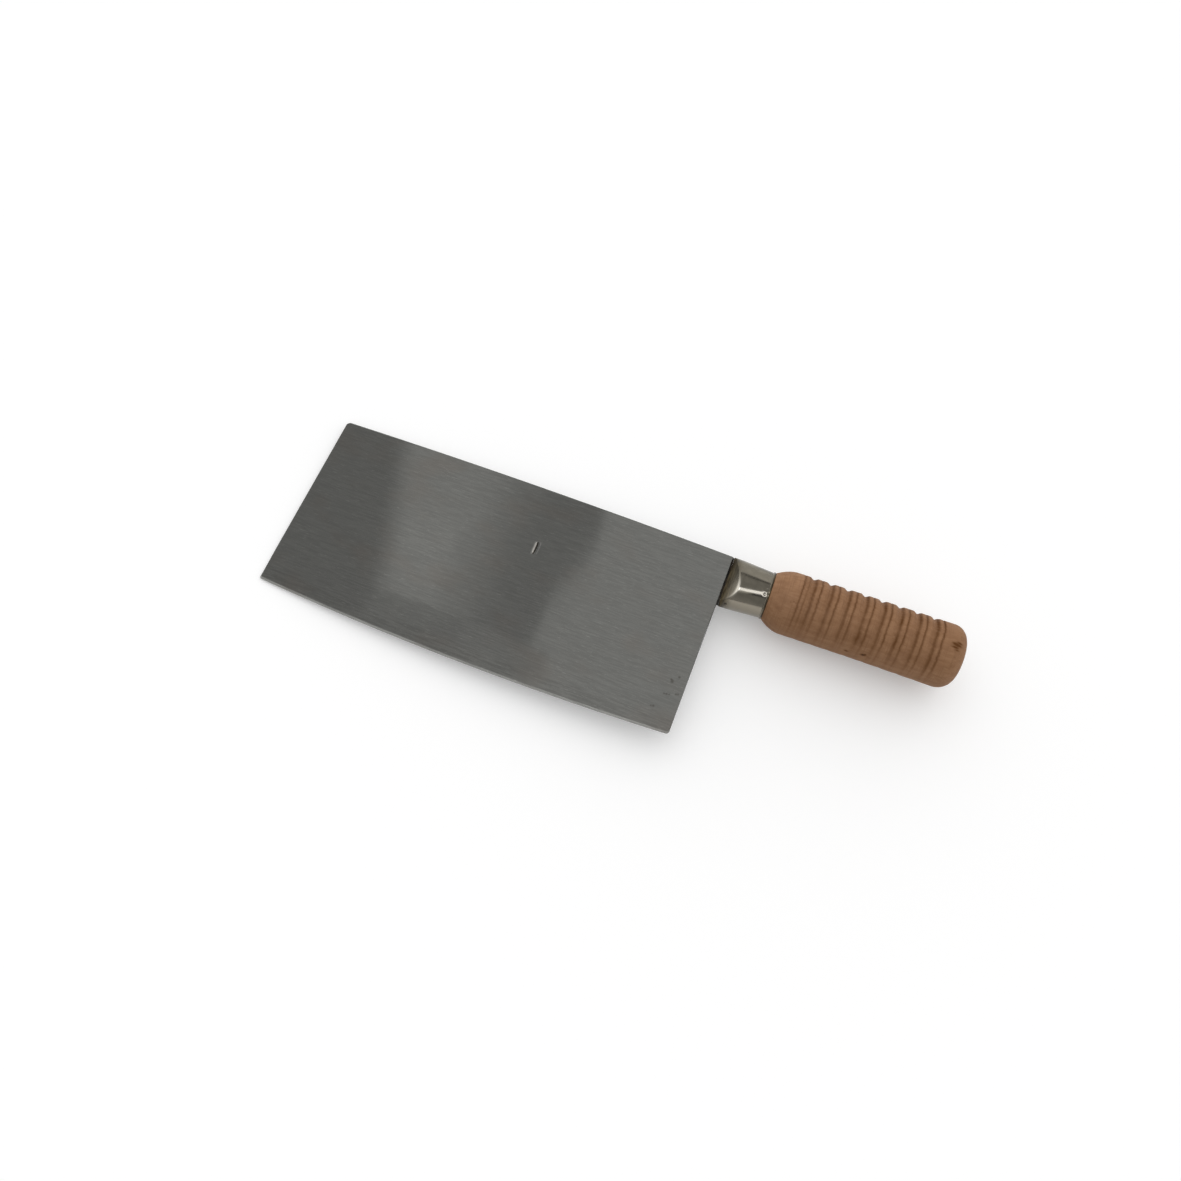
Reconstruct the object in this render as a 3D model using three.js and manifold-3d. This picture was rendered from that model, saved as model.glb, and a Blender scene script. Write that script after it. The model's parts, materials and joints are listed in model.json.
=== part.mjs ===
// Bone cleaver: a broad steel blade on a turned wooden handle, lying on its side as it is put down.
// Millimetres, Z up. The pieces are drawn in the blade's own frame: X runs from the toe to the heel,
// Y from the cutting edge up to the spine, and Z square to the blade. At the end the whole cleaver is
// laid on Z = 0, on the toe and the swell of the handle, with its box centred over the origin.
import * as THREE from "three";
import { mergeVertices } from "three/addons/utils/BufferGeometryUtils.js";
import Module from "manifold-3d";

const wasm = await Module();
wasm.setup();

// Gap between pieces that touch, and how finely round forms are drawn.
const clearance = 0.3;
const mergeDistance = 1e-4;
const roundSides = 32;
const sleeveSides = 40;

// Blade. Thicknesses are whole thicknesses; the crown and the belly are heights of shallow arches. The
// foot of each cheek is ground a little steeper, from a straight line at the grind's height to the bevel.
const bladeLength = 225;
const bladeHeight = 101;
const spineCrown = 1.4;
const edgeBelly = 3.6;
const spineAtToe = 3.2;
const spineAtHeel = 4.0;
const cheekFall = 2.0;
const grindHeight = 18;
const grindFall = 0.5;
const bevelWidth = 8;
const fineEdgeWidth = 1.2;
const fineEdgeThickness = 0.5;
const toeSpineCorner = 2.4;
const toeEdgeCorner = 1.2;
const heelSpineCorner = 0.8;
const heelEdgeCorner = 1.6;

// Punched tick on the cheek, measured from the toe and from the spine to its middle.
const tickFromToe = 126.8;
const tickFromSpine = 33.1;
const tickLength = 7;
const tickWidth = 1.3;
const tickDepth = 0.4;

// Hilt line: where the handle's axis leaves the heel, and how far it rises towards the spine's side.
const gripDrop = 13.95;
const handleRise = THREE.MathUtils.degToRad(0.95);

// Stub of the blade inside the ferrule. At the heel its neck is as high as the mouth, less a margin.
const neckMargin = 0.6;
const stubThickness = 3.4;
const stubRoot = 2;
const stubEndGap = 1.6;

// Ferrule: heights run along the blade, thicknesses across it. Its section is an oval, whose squareness
// is 2 for an ellipse and more for a form nearer to a rectangle.
const heelGap = 1.2;
const ferruleLength = 22.8;
const ferruleWall = 1.6;
const mouthHeight = 27.2;
const mouthClearance = 0.5;
const hipSetback = 6.5;
const hipHeight = 26.4;
const hipThickness = 22.4;
const rearBead = 0.35;
const rearBeadWidth = 1.4;
const mouthSquareness = 4;
const hipSquareness = 2.8;
const roundSquareness = 2;

// Bedding cast into the ferrule.
const beddingRecess = 2;
const beddingWall = 1.9;

// Handle. The ribs are cut in the spine's side and fade out before the edge's side.
const handleLength = 98.8;
const tenonDiameter = 20.6;
const tenonLength = 8;
const rimStep = 0.1;
const swellRadius = 16.2;
const buttRadius = 16.75;
const shoulderLength = 11;
const buttRoundAtSpine = 7.4;
const buttRoundAtEdge = 10.6;
const buttLand = 1.9;
const frontPlain = 13.8;
const rearPlain = 12.8;
const ribPitch = 8.92;
const lineDepth = 0.3;
const lineWidth = 0.8;
const coveStart = 2;
const coveWidth = 5;
const coveDepth = 1.1;
const ribFadeFrom = THREE.MathUtils.degToRad(95);
const ribFadeTo = THREE.MathUtils.degToRad(175);

// Tang rod, its fork over the stub, its weld beads, and the washer under its peened head.
const rodDiameter = 7;
const beadRadius = 0.8;
const beadInset = 0.8;
const beadCover = 1.7;
const washerDiameter = 13;
const washerThickness = 1.6;
const headDiameter = 10.4;
const headHeight = 1.6;
const headSink = 0.4;

// The fork's slot, half the width of a prong where it meets the stub, and the run of the bead round it.
const slotHalf = stubThickness / 2 + clearance;
const prongHalf = Math.sqrt((rodDiameter / 2) ** 2 - slotHalf ** 2);
const beadOffset = prongHalf + clearance + beadRadius;

// Places along the hilt line, measured from the heel.
const mouthAt = heelGap;
const hipAt = mouthAt + hipSetback;
const ferruleEnd = mouthAt + ferruleLength;
const woodFront = ferruleEnd + clearance;
const woodEnd = woodFront + handleLength;
const tenonFront = woodFront - tenonLength;
const beddingFront = mouthAt + beddingRecess;
const beddingEnd = tenonFront - clearance;
const neckEnd = mouthAt - clearance;
const stubEnd = tenonFront - stubEndGap;
const forkRoot = stubEnd + clearance;
const forkNose = beddingFront + beadCover + beadRadius + beadOffset;

// Sizes that follow from what they hold or fit into.
const neckHeight = mouthHeight - 2 * neckMargin;
const stubHeight = hipHeight - 2 * (ferruleWall + clearance + beddingWall);
const mouthThickness = stubThickness + 2 * (mouthClearance + ferruleWall);
const socketRadius = tenonDiameter / 2 + clearance;
const sleeveRadius = socketRadius + ferruleWall;
const rimRadius = sleeveRadius + rearBead + rimStep;
const boreRadius = rodDiameter / 2 + clearance;
const recessRadius = washerDiameter / 2 + clearance;
const recessDepth = 2 * clearance + washerThickness + headHeight + headSink;
const recessFloor = woodEnd - recessDepth;
const headBack = recessFloor + 2 * clearance + washerThickness;
const ribCount = Math.floor((handleLength - frontPlain - rearPlain) / ribPitch);

// Finishes.
const satinSteel = new THREE.MeshStandardMaterial({ color: "#62625f", roughness: 0.4, metalness: 0.9 });
const mildSteel = new THREE.MeshStandardMaterial({ color: "#6d6a66", roughness: 0.5, metalness: 0.9 });
const nickel = new THREE.MeshStandardMaterial({ color: "#827c70", roughness: 0.18, metalness: 1 });
const wood = new THREE.MeshStandardMaterial({ color: "#86654c", roughness: 0.7, metalness: 0 });
const resin = new THREE.MeshStandardMaterial({ color: "#2b2722", roughness: 0.8, metalness: 0 });

// A closed body stretched over rings of points, each ring running from +Y towards +Z. The ends are
// capped, or joined to each other where the body is a tube.
function skin(rings, joinEnds) {
  const sides = rings[0].length;
  const points = rings.flat();
  const faces = [];
  const spans = joinEnds ? rings.length : rings.length - 1;
  for (let i = 0; i < spans; i++) {
    const here = i * sides;
    const next = ((i + 1) % rings.length) * sides;
    for (let j = 0; j < sides; j++) {
      const k = (j + 1) % sides;
      faces.push(here + j, here + k, next + k, here + j, next + k, next + j);
    }
  }
  if (!joinEnds) {
    const last = (rings.length - 1) * sides;
    for (let j = 1; j < sides - 1; j++) {
      faces.push(0, j + 1, j, last, last + j, last + j + 1);
    }
  }
  const geometry = new THREE.BufferGeometry().setFromPoints(points);
  geometry.setIndex(faces);
  return geometry;
}

// Booleans on closed geometry.
function toSolid(geometry) {
  const bare = geometry.clone();
  bare.deleteAttribute("normal");
  bare.deleteAttribute("uv");
  const merged = mergeVertices(bare, mergeDistance);
  const vertProperties = merged.attributes.position.array;
  const triVerts = Uint32Array.from(merged.index.array);
  return new wasm.Manifold(new wasm.Mesh({ numProp: 3, vertProperties, triVerts }));
}

function toGeometry(solid) {
  const mesh = solid.getMesh();
  const geometry = new THREE.BufferGeometry();
  geometry.setAttribute("position", new THREE.BufferAttribute(mesh.vertProperties, 3));
  geometry.setIndex(new THREE.BufferAttribute(mesh.triVerts, 1));
  return geometry;
}

function piece(name, geometry, material) {
  geometry.computeVertexNormals();
  const mesh = new THREE.Mesh(geometry, material);
  mesh.name = name;
  return mesh;
}

// A box given by its middle and its three sizes.
function block(x, y, z, length, height, thickness) {
  return new THREE.BoxGeometry(length, height, thickness).translate(x, y, z);
}

// A round body along X from a profile of [place along the axis, radius].
function turned(profile) {
  const points = profile.map(([along, radius]) => new THREE.Vector2(radius, along));
  return new THREE.LatheGeometry(points, roundSides).rotateZ(-Math.PI / 2);
}

// Blade: flat cheeks that thin towards the edge and the toe, a ground foot, a bevel and a fine edge.

// Height that a quarter circle of the given radius takes off a corner, near it.
function cornerLoss(radius, fromCorner) {
  if (fromCorner >= radius) return 0;
  return radius - Math.sqrt(radius ** 2 - (radius - fromCorner) ** 2);
}

function archHeight(height, x) {
  return height * (1 - (2 * x / bladeLength - 1) ** 2);
}

function spineLine(x) {
  const corners = cornerLoss(toeSpineCorner, x) + cornerLoss(heelSpineCorner, bladeLength - x);
  return archHeight(spineCrown, x) - corners;
}

function edgeLine(x) {
  const corners = cornerLoss(toeEdgeCorner, x) + cornerLoss(heelEdgeCorner, bladeLength - x);
  return -bladeHeight - archHeight(edgeBelly, x) + corners;
}

function cheekHalf(x, y) {
  const spine = THREE.MathUtils.lerp(spineAtToe, spineAtHeel, x / bladeLength);
  return (spine + cheekFall * y / bladeHeight) / 2;
}

function bladeSection(x) {
  const spine = spineLine(x);
  const grind = -bladeHeight + grindHeight;
  const bevel = -bladeHeight - archHeight(edgeBelly, x) + bevelWidth;
  const edge = edgeLine(x);
  const fine = edge + fineEdgeWidth;
  const spineHalf = cheekHalf(x, spine);
  const grindHalf = cheekHalf(x, grind);
  const bevelHalf = cheekHalf(x, bevel) - grindFall / 2;
  const fineHalf = fineEdgeThickness / 2;
  const outline = [
    [spine, spineHalf], [grind, grindHalf], [bevel, bevelHalf], [fine, fineHalf], [edge, 0],
    [fine, -fineHalf], [bevel, -bevelHalf], [grind, -grindHalf], [spine, -spineHalf],
  ];
  return outline.map(([y, z]) => new THREE.Vector3(x, y, z));
}

function bladeStations() {
  const stations = [];
  const archSteps = 18;
  const cornerSteps = 5;
  const toeCorner = Math.max(toeSpineCorner, toeEdgeCorner);
  const heelCorner = Math.max(heelSpineCorner, heelEdgeCorner);
  for (let i = 0; i < cornerSteps; i++) {
    stations.push(toeCorner * (1 - Math.cos(Math.PI / 2 * i / cornerSteps)));
  }
  for (let i = 0; i <= archSteps; i++) {
    stations.push(THREE.MathUtils.lerp(toeCorner, bladeLength - heelCorner, i / archSteps));
  }
  for (let i = cornerSteps - 1; i >= 0; i--) {
    stations.push(bladeLength - heelCorner * (1 - Math.cos(Math.PI / 2 * i / cornerSteps)));
  }
  return stations;
}

// A bar on the hilt line that starts inside the plate and ends at a place measured from the heel.
function stubBar(end, height) {
  const length = stubRoot + end;
  const bar = block(end - length / 2, 0, 0, length, height, stubThickness);
  return toSolid(bar.rotateZ(handleRise).translate(bladeLength, -gripDrop, 0));
}

function bladePiece() {
  const plate = toSolid(skin(bladeStations().map(bladeSection), false));
  const neck = stubBar(neckEnd, neckHeight);
  const stub = stubBar(stubEnd, stubHeight);
  const cheek = cheekHalf(tickFromToe, -tickFromSpine);
  const tick = block(tickFromToe, -tickFromSpine, cheek, tickWidth, tickLength, 2 * tickDepth);
  return piece("blade", toGeometry(plate.add(neck).add(stub).subtract(toSolid(tick))), satinSteel);
}

// Ferrule: an oval that is a flat slot at the mouth, swells to the hip and is round at the wood.
function ovalRing(x, halfHeight, halfThickness, squareness) {
  const ring = [];
  for (let j = 0; j < sleeveSides; j++) {
    const turn = 2 * Math.PI * j / sleeveSides;
    const cos = Math.cos(turn);
    const sin = Math.sin(turn);
    const y = halfHeight * Math.sign(cos) * Math.abs(cos) ** (2 / squareness);
    const z = halfThickness * Math.sign(sin) * Math.abs(sin) ** (2 / squareness);
    ring.push(new THREE.Vector3(x, y, z));
  }
  return ring;
}

// A ring of the ferrule's cavity between its mouth and its hip, less a margin all round.
function cavityRing(x, margin) {
  const share = THREE.MathUtils.clamp((x - mouthAt) / hipSetback, 0, 1);
  const height = THREE.MathUtils.lerp(mouthHeight, hipHeight, share) / 2;
  const thickness = THREE.MathUtils.lerp(mouthThickness, hipThickness, share) / 2;
  const squareness = THREE.MathUtils.lerp(mouthSquareness, hipSquareness, share);
  return ovalRing(x, height - ferruleWall - margin, thickness - ferruleWall - margin, squareness);
}

function ferrulePiece() {
  const beadStart = ferruleEnd - rearBeadWidth;
  const beadTop = sleeveRadius + rearBead;
  const outside = [
    ovalRing(mouthAt, mouthHeight / 2, mouthThickness / 2, mouthSquareness),
    ovalRing(hipAt, hipHeight / 2, hipThickness / 2, hipSquareness),
    ovalRing(beadStart, sleeveRadius, sleeveRadius, roundSquareness),
    ovalRing(beadStart + rearBead, beadTop, beadTop, roundSquareness),
    ovalRing(ferruleEnd, beadTop, beadTop, roundSquareness),
  ];
  const inside = [
    ovalRing(ferruleEnd, socketRadius, socketRadius, roundSquareness),
    ovalRing(beddingEnd, socketRadius, socketRadius, roundSquareness),
    cavityRing(hipAt, 0),
    cavityRing(beddingFront, 0),
    cavityRing(mouthAt, 0),
  ];
  return piece("ferrule", skin([...outside, ...inside], true), nickel);
}

// Tang rod: round bar, forked over the stub, with its far end peened over the washer.
function rodBody(margin) {
  const radius = rodDiameter / 2 + margin;
  const profile = [[forkNose - margin, 0], [forkNose - margin, radius], [headBack, radius]];
  const domeSteps = 4;
  for (let i = 0; i <= domeSteps; i++) {
    const rise = Math.PI / 2 * i / domeSteps;
    profile.push([headBack + headHeight * Math.sin(rise), headDiameter / 2 * Math.cos(rise)]);
  }
  return turned(profile);
}

function tangRodPiece() {
  const slot = block(forkRoot / 2, 0, 0, forkRoot, 2 * rodDiameter, 2 * slotHalf);
  return piece("tang_rod", toGeometry(toSolid(rodBody(0)).subtract(toSolid(slot))), mildSteel);
}

// Weld beads: one on each face of the stub, running round the prong of the fork.
function weldBead(side, margin) {
  const height = side * (slotHalf + beadRadius);
  const beadEnd = forkRoot - beadInset + margin;
  const run = new THREE.Path();
  run.moveTo(beadEnd, beadOffset);
  run.lineTo(forkNose, beadOffset);
  run.absarc(forkNose, 0, beadOffset, Math.PI / 2, 3 * Math.PI / 2, false);
  run.lineTo(beadEnd, -beadOffset);
  const steps = 16;
  const points = run.getSpacedPoints(steps).map(({ x, y }) => new THREE.Vector3(x, y, height));
  const section = new THREE.Shape().absarc(0, 0, beadRadius + margin, 0, 2 * Math.PI, false);
  return new THREE.ExtrudeGeometry(section, {
    extrudePath: new THREE.CatmullRomCurve3(points),
    steps,
    curveSegments: 4,
    bevelEnabled: false,
  });
}

// Bedding: fills the ferrule between its mouth and the wood, round the stub, the fork and the welds.
function beddingPiece() {
  const plug = skin([
    cavityRing(beddingFront, clearance),
    cavityRing(hipAt, clearance),
    ovalRing(beddingEnd, socketRadius - clearance, socketRadius - clearance, roundSquareness),
  ], false);
  const stubMargin = 2 * clearance;
  const stubSpace = block(
    stubEnd / 2, 0, 0, stubEnd + stubMargin, stubHeight + stubMargin, stubThickness + stubMargin);
  const spaces = [stubSpace, rodBody(clearance), weldBead(1, clearance), weldBead(-1, clearance)];
  const solid = spaces.reduce((rest, space) => rest.subtract(toSolid(space)), toSolid(plug));
  return piece("bedding", toGeometry(solid), resin);
}

// Handle: turned wood with a tenon in the ferrule, a bore for the rod and a recess in the butt.

// Share of the full rib depth at an angle from the spine's side.
function ribFade(angle) {
  const fromSpine = Math.abs(angle > Math.PI ? angle - 2 * Math.PI : angle);
  return 1 - THREE.MathUtils.smoothstep(fromSpine, ribFadeFrom, ribFadeTo);
}

// Depth of the rib pattern at a place along the wood: a thin line, then a cove, once each pitch.
function ribDepth(along) {
  const fromFirst = along - frontPlain;
  const nearest = THREE.MathUtils.clamp(Math.round(fromFirst / ribPitch), 0, ribCount);
  const fromLine = Math.abs(fromFirst - nearest * ribPitch);
  const line = lineDepth * Math.max(0, 1 - 2 * fromLine / lineWidth);
  const period = THREE.MathUtils.clamp(Math.floor(fromFirst / ribPitch), 0, ribCount - 1);
  const inCove = (fromFirst - period * ribPitch - coveStart) / coveWidth;
  const cove = inCove > 0 && inCove < 1 ? coveDepth * Math.sin(Math.PI * inCove) ** 2 : 0;
  return line + cove;
}

// Radius lost where an end is rounded off: from drop at the end down to nothing a length away.
function endLoss(drop, length, fromEnd) {
  if (fromEnd >= length) return 0;
  return drop * (1 - Math.sqrt(1 - (1 - fromEnd / length) ** 2));
}

// A ring of the wood's outside: a barrel with a long soft shoulder, a rounded butt, and the ribs.
function woodRing(along) {
  const barrel = THREE.MathUtils.lerp(swellRadius, buttRadius, along / handleLength);
  const shoulder = (swellRadius - rimRadius) * Math.max(0, 1 - along / shoulderLength) ** 2;
  const buttDrop = buttRadius - recessRadius - buttLand;
  const ring = [];
  for (let j = 0; j < roundSides; j++) {
    const angle = 2 * Math.PI * j / roundSides;
    const roundShare = (1 - Math.cos(angle)) / 2;
    const buttRound = THREE.MathUtils.lerp(buttRoundAtSpine, buttRoundAtEdge, roundShare);
    const butt = endLoss(buttDrop, buttRound, handleLength - along);
    const radius = barrel - shoulder - butt - ribDepth(along) * ribFade(angle);
    ring.push(new THREE.Vector3(woodFront + along, radius * Math.cos(angle), radius * Math.sin(angle)));
  }
  return ring;
}

function woodStations() {
  const stations = [];
  const endSteps = 7;
  const coveSteps = 4;
  for (let i = 0; i < endSteps; i++) {
    stations.push(shoulderLength * (1 - Math.cos(Math.PI / 2 * i / endSteps)));
  }
  for (let rib = 0; rib <= ribCount; rib++) {
    const line = frontPlain + rib * ribPitch;
    stations.push(line - lineWidth / 2, line, line + lineWidth / 2);
    for (let i = 0; i <= coveSteps && rib < ribCount; i++) {
      stations.push(line + coveStart + coveWidth * i / coveSteps);
    }
  }
  const longRound = Math.max(buttRoundAtSpine, buttRoundAtEdge);
  for (let i = endSteps; i >= 0; i--) {
    stations.push(handleLength - longRound * (1 - Math.cos(Math.PI / 2 * i / endSteps)));
  }
  return stations;
}

function roundRing(x, radius) {
  const ring = [];
  for (let j = 0; j < roundSides; j++) {
    const angle = 2 * Math.PI * j / roundSides;
    ring.push(new THREE.Vector3(x, radius * Math.cos(angle), radius * Math.sin(angle)));
  }
  return ring;
}

function handlePiece() {
  const tenonRadius = tenonDiameter / 2;
  const rings = [
    roundRing(tenonFront, boreRadius),
    roundRing(tenonFront, tenonRadius),
    roundRing(woodFront, tenonRadius),
    ...woodStations().map(woodRing),
    roundRing(woodEnd, recessRadius),
    roundRing(recessFloor, recessRadius),
    roundRing(recessFloor, boreRadius),
  ];
  return piece("handle", skin(rings, true), wood);
}

// Butt washer: a flat ring on the floor of the recess.
function washerPiece() {
  const back = recessFloor + clearance;
  const front = back + washerThickness;
  const outer = washerDiameter / 2;
  const profile = [
    [back, boreRadius], [back, outer], [front, outer], [front, boreRadius], [back, boreRadius],
  ];
  return piece("butt_washer", turned(profile), mildSteel);
}

// The hilt turns a little at the heel, and everything on it turns with it.
const hilt = new THREE.Group();
hilt.position.set(bladeLength, -gripDrop, 0);
hilt.rotation.z = handleRise;
hilt.add(
  ferrulePiece(),
  beddingPiece(),
  tangRodPiece(),
  piece("weld_bead_upper", weldBead(1, 0), mildSteel),
  piece("weld_bead_lower", weldBead(-1, 0), mildSteel),
  handlePiece(),
  washerPiece(),
);

// Lying down: the roll lays the toe's lower arris level, and the pitch brings the swell down to it.
const roll = Math.atan2(cheekFall / 2, bladeHeight);
const swellAt = bladeLength + woodFront + shoulderLength;
const swellBelowToe = swellRadius + gripDrop * Math.sin(roll) - spineAtToe / 2;
const pitch = Math.atan2(swellBelowToe, swellAt);
const lying = new THREE.Group();
lying.rotation.set(roll, -pitch, 0, "YXZ");
lying.add(bladePiece(), hilt);

// The origin is under the middle of the cleaver's box, on the surface that it lies on.
lying.updateMatrixWorld(true);
const box = new THREE.Box3().setFromObject(lying, true);
const middle = box.getCenter(new THREE.Vector3());
lying.position.set(-middle.x, -middle.y, -box.min.z);

const cleaver = new THREE.Group();
cleaver.add(lying);

export default cleaver;
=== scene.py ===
"""Bone cleaver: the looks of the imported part, made piece by piece in its frame."""
import json
import math

import bpy
from mathutils import Matrix, Vector, noise


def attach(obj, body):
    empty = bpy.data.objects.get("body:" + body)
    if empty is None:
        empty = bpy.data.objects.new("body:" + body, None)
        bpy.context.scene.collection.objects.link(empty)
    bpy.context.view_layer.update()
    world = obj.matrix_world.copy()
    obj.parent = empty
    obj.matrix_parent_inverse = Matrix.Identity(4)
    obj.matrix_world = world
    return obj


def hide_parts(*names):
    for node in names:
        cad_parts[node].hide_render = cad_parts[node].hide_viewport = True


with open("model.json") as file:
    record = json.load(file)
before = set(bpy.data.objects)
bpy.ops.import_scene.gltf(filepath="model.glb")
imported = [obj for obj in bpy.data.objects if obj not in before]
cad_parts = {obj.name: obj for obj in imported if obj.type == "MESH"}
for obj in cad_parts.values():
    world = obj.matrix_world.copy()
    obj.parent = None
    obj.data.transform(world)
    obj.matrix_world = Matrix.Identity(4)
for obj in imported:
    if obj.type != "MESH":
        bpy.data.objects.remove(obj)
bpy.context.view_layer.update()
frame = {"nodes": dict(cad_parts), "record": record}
scene = bpy.context.scene
scene.view_settings.view_transform = "Standard"

# How the cleaver lies: on its side, on the toe and the swell of the handle. The pieces are drawn in
# the blade's own frame, with X from the toe to the heel, Y from the edge up to the spine and Z square
# to the blade. The two cheeks lean equally to the blade's middle plane, which gives that frame.
mm = 0.001
spine_crown = 1.4 * mm
cheek_axis = {mount["name"]: Vector(mount["axis"]) for mount in frame["record"]["mounts"]}
square = (cheek_axis["upper_cheek"] - cheek_axis["lower_cheek"]).normalized()
lengthwise = Vector((0, 1, 0)).cross(square).normalized()
turn = Matrix((lengthwise, square.cross(lengthwise), square)).transposed()
drawn = [turn.transposed() @ vertex.co for vertex in frame["nodes"]["blade"].data.vertices]
heights = [point.z for point in drawn]
toe = Vector((
    min(point.x for point in drawn),
    max(point.y for point in drawn) - spine_crown,
    (min(heights) + max(heights)) / 2,
))
lie = Matrix.Translation(turn @ toe) @ turn.to_4x4()


# Camera: it looks down on the upper cheek from above the heel, from the edge's side.
# Its place, aim and upright direction are given in the blade's own frame.
def looking(place, aim, upright):
    """The pose of a camera that stands at a place and looks at its aim."""
    back = (place - aim).normalized()
    right = upright.cross(back).normalized()
    turned = Matrix((right, back.cross(right), back)).transposed()
    return lie @ Matrix.Translation(place) @ turned.to_4x4()


camera_place = Vector((231.42, -220.23, 453.24)) * mm
camera_aim = Vector((162.50, -44.37, 0)) * mm
image_upright = Vector((-0.33927, 0.85844, 0.38467))
camera = bpy.data.objects.new("camera", bpy.data.cameras.new("camera"))
scene.collection.objects.link(camera)
scene.camera = camera
camera.matrix_world = looking(camera_place, camera_aim, image_upright)
camera.data.sensor_width = 36
camera.data.lens = 28.966
camera.data.clip_start = 10 * mm


# Studio: a white table under a white tent, brighter behind the spine than in front of the edge.
# Cards hang where the blade and the ferrule mirror them, and show in mirrors only: grey ones for the
# fields on the steel, and one bright strip for the line of light on the ferrule.
def node(tree, kind, inputs=None, **settings):
    """One shader node, with its settings, and with its inputs set or linked."""
    made = tree.nodes.new(kind)
    for name, value in settings.items():
        setattr(made, name, value)
    for key, value in (inputs or {}).items():
        if isinstance(value, bpy.types.NodeSocket):
            tree.links.new(value, made.inputs[key])
        else:
            made.inputs[key].default_value = value
    return made


def seen_directly(tree):
    """1 for a ray from the camera, a mirror or glass, and 0 for the light that falls on the object."""
    path = node(tree, "ShaderNodeLightPath").outputs
    mirrored = node(
        tree, "ShaderNodeMath",
        {0: path["Is Glossy Ray"], 1: path["Is Transmission Ray"]}, operation="MAXIMUM")
    either = node(
        tree, "ShaderNodeMath",
        {0: path["Is Camera Ray"], 1: mirrored.outputs[0]}, operation="MAXIMUM")
    return either.outputs[0]


def add_to_stage(name, points, material):
    """A flat sheet through these points that isn't part of the cleaver."""
    mesh = bpy.data.meshes.new(name)
    mesh.from_pydata(points, [], [range(len(points))])
    mesh.materials.append(material)
    sheet = bpy.data.objects.new(name, mesh)
    scene.collection.objects.link(sheet)
    return sheet


tent_at_edge_side = 0.3
tent_at_spine_side = 1.55
scene.world = bpy.data.worlds.new("tent")
scene.world.use_nodes = True
tent = scene.world.node_tree
tent.nodes.clear()
ray = node(tent, "ShaderNodeTexCoord").outputs["Generated"]
towards_spine = node(tent, "ShaderNodeSeparateXYZ", {0: ray}).outputs["Y"]
tent_level = node(
    tent, "ShaderNodeMapRange",
    {0: towards_spine, 1: -1, 2: 1, 3: tent_at_edge_side, 4: tent_at_spine_side})
tent_light = node(tent, "ShaderNodeBackground", {0: (1, 1, 1, 1), 1: tent_level.outputs[0]})
tent_white = node(tent, "ShaderNodeBackground", {0: (1, 1, 1, 1), 1: 1})
tent_shown = node(
    tent, "ShaderNodeMixShader",
    {0: seen_directly(tent), 1: tent_light.outputs[0], 2: tent_white.outputs[0]})
node(tent, "ShaderNodeOutputWorld", {"Surface": tent_shown.outputs[0]})

table_radius = 6
table_drop = 0.2 * mm
table_sides = 96
table_grey = 0.86
table_lift = 0.21
table_paint = bpy.data.materials.new("white_table")
table_paint.use_nodes = True
table_tree = table_paint.node_tree
table_shader = table_tree.nodes["Principled BSDF"]
table_shader.inputs["Base Color"].default_value = (table_grey, table_grey, table_grey, 1)
table_shader.inputs["Roughness"].default_value = 0.9
table_shader.inputs["Specular IOR Level"].default_value = 0
table_shader.inputs["Emission Color"].default_value = (1, 1, 1, 1)
table_glow = node(
    table_tree, "ShaderNodeMath", {0: seen_directly(table_tree), 1: table_lift}, operation="MULTIPLY")
table_tree.links.new(table_glow.outputs[0], table_shader.inputs["Emission Strength"])
table_turns = [2 * math.pi * i / table_sides for i in range(table_sides)]
add_to_stage(
    "table",
    [(table_radius * math.cos(t), table_radius * math.sin(t), -table_drop) for t in table_turns],
    table_paint)

card_height = 600 * mm


def lerp(start, end, share):
    return start + (end - start) * share


def ranged(tree, value, start, end, low, high):
    """A value between a start and an end, eased onto another range."""
    return node(
        tree, "ShaderNodeMapRange", {0: value, 1: start, 2: end, 3: low, 4: high},
        interpolation_type="SMOOTHSTEP").outputs[0]


def hang_card(name, brightness, corners, tint=(1, 1, 1), reach=None):
    """A card of even brightness with these corners in the blade's frame, in millimetres.
    A card with a reach shows in mirrors up to its first distance, and fades out by the second."""
    cloth = bpy.data.materials.new(name)
    cloth.use_nodes = True
    tree = cloth.node_tree
    tree.nodes.clear()
    look = node(tree, "ShaderNodeEmission", {0: (*tint, 1), 1: brightness})
    if reach:
        distance = node(tree, "ShaderNodeLightPath").outputs["Ray Length"]
        too_far = ranged(tree, distance, *reach, 0, 1)
        clear = node(tree, "ShaderNodeBsdfTransparent")
        look = node(tree, "ShaderNodeMixShader", {0: too_far, 1: look.outputs[0], 2: clear.outputs[0]})
    node(tree, "ShaderNodeOutputMaterial", {"Surface": look.outputs[0]})
    card = add_to_stage(name, [Vector(corner) * mm for corner in corners], cloth)
    card.matrix_world = lie
    card.visible_camera = False
    card.visible_diffuse = False
    card.visible_shadow = False
    card.visible_transmission = False


def over_blade(places):
    """Corners at the cards' height that the camera sees mirrored at these places on the flat cheek."""
    reach = 1 + card_height / camera_place.z
    eye = camera_place.xy / mm
    corners = [eye + (Vector(place) - eye) * reach for place in places]
    return [(corner.x, corner.y, card_height / mm) for corner in corners]


def oblong(x_from, x_to, y_from, y_to):
    return [(x_from, y_from), (x_to, y_from), (x_to, y_to), (x_from, y_to)]


def raised(corners, height):
    return [(x, y, height) for x, y in corners]


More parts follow.
